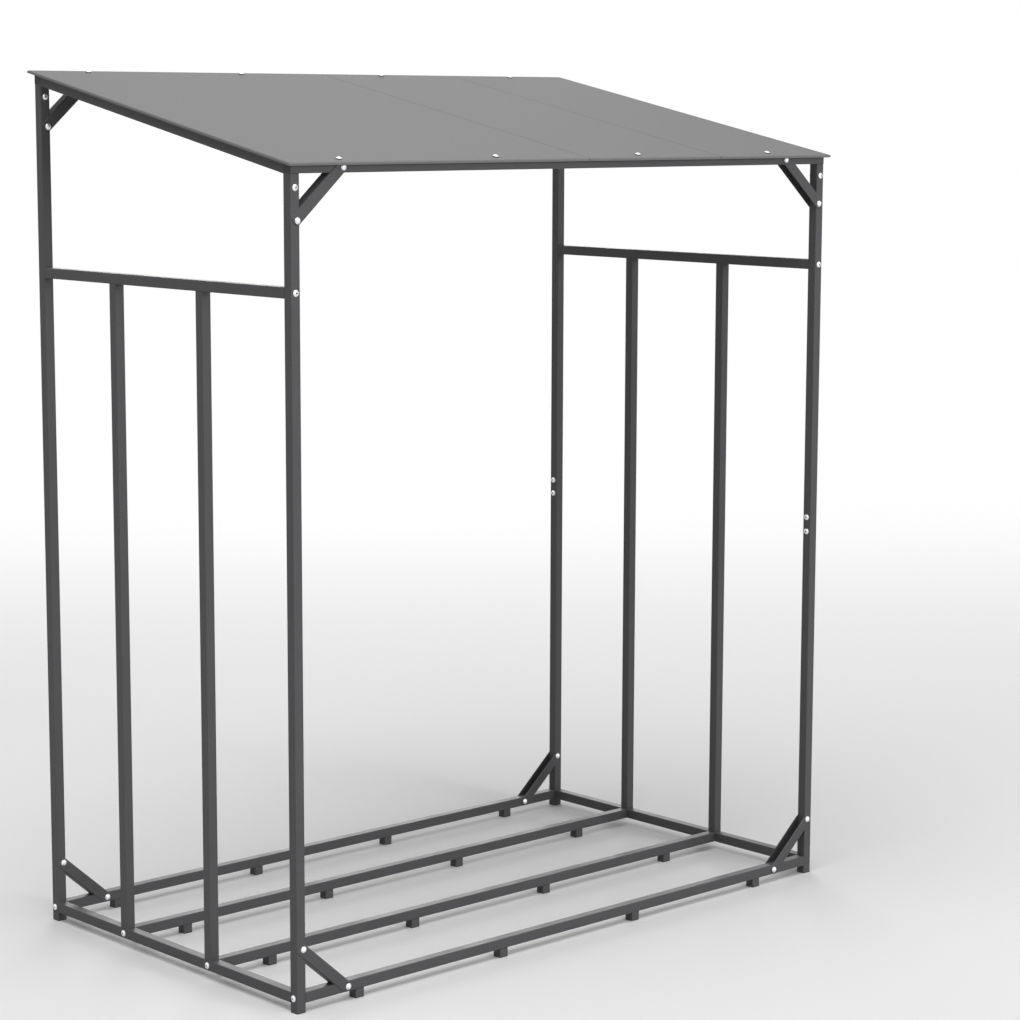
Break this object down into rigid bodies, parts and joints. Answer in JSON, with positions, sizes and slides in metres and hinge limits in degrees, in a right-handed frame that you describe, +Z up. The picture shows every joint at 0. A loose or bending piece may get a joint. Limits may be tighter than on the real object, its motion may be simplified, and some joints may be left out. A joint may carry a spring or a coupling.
{
  "type": "open log store",
  "caption": "Free-standing open log store: bolted square-tube frame on short feet, with barred sides, corner braces and a sloping sheet roof",
  "frame": {"origin": "on the ground, at the middle of the rectangle that the roof covers", "axes": "+X to the right along the open front, -Y out of the open front, +Z up"},
  "size_m": [1.41, 0.81, 1.6819],
  "materials": {
    "frame_steel": "satin powder coat",
    "roof_sheet": "matt coil coating",
    "cap_plastic": "moulded",
    "zinc_steel": "zinc plated"
  },
  "bodies": {
    "root": {"base_rail_back": "frame_steel", "base_rail_front": "frame_steel", "base_rail_left": "frame_steel", "base_rail_right": "frame_steel", "beam_back": "frame_steel", "beam_end_caps": "cap_plastic", "beam_front": "frame_steel", "brace_back_left_bottom": "frame_steel", "brace_back_left_top": "frame_steel", "brace_back_right_bottom": "frame_steel", "brace_back_right_top": "frame_steel", "brace_front_left_bottom": "frame_steel", "brace_front_left_top": "frame_steel", "brace_front_right_bottom": "frame_steel", "brace_front_right_top": "frame_steel", "feet_back": "frame_steel", "feet_front": "frame_steel", "feet_inner_back": "frame_steel", "feet_inner_front": "frame_steel", "inner_rail_back": "frame_steel", "inner_rail_front": "frame_steel", "post_back_left_lower": "frame_steel", "post_back_left_upper": "frame_steel", "post_back_right_lower": "frame_steel", "post_back_right_upper": "frame_steel", "post_foot_caps": "cap_plastic", "post_front_left_lower": "frame_steel", "post_front_left_upper": "frame_steel", "post_front_right_lower": "frame_steel", "post_front_right_upper": "frame_steel", "post_splice_sleeves": "zinc_steel", "rafter_left": "frame_steel", "rafter_right": "frame_steel", "rail_foot_caps": "cap_plastic", "roof_sheet_left": "roof_sheet", "roof_sheet_middle": "roof_sheet", "roof_sheet_right": "roof_sheet", "side_bar_left_back": "frame_steel", "side_bar_left_front": "frame_steel", "side_bar_right_back": "frame_steel", "side_bar_right_front": "frame_steel", "side_rail_left": "frame_steel", "side_rail_right": "frame_steel"}
  },
  "joints": []
}
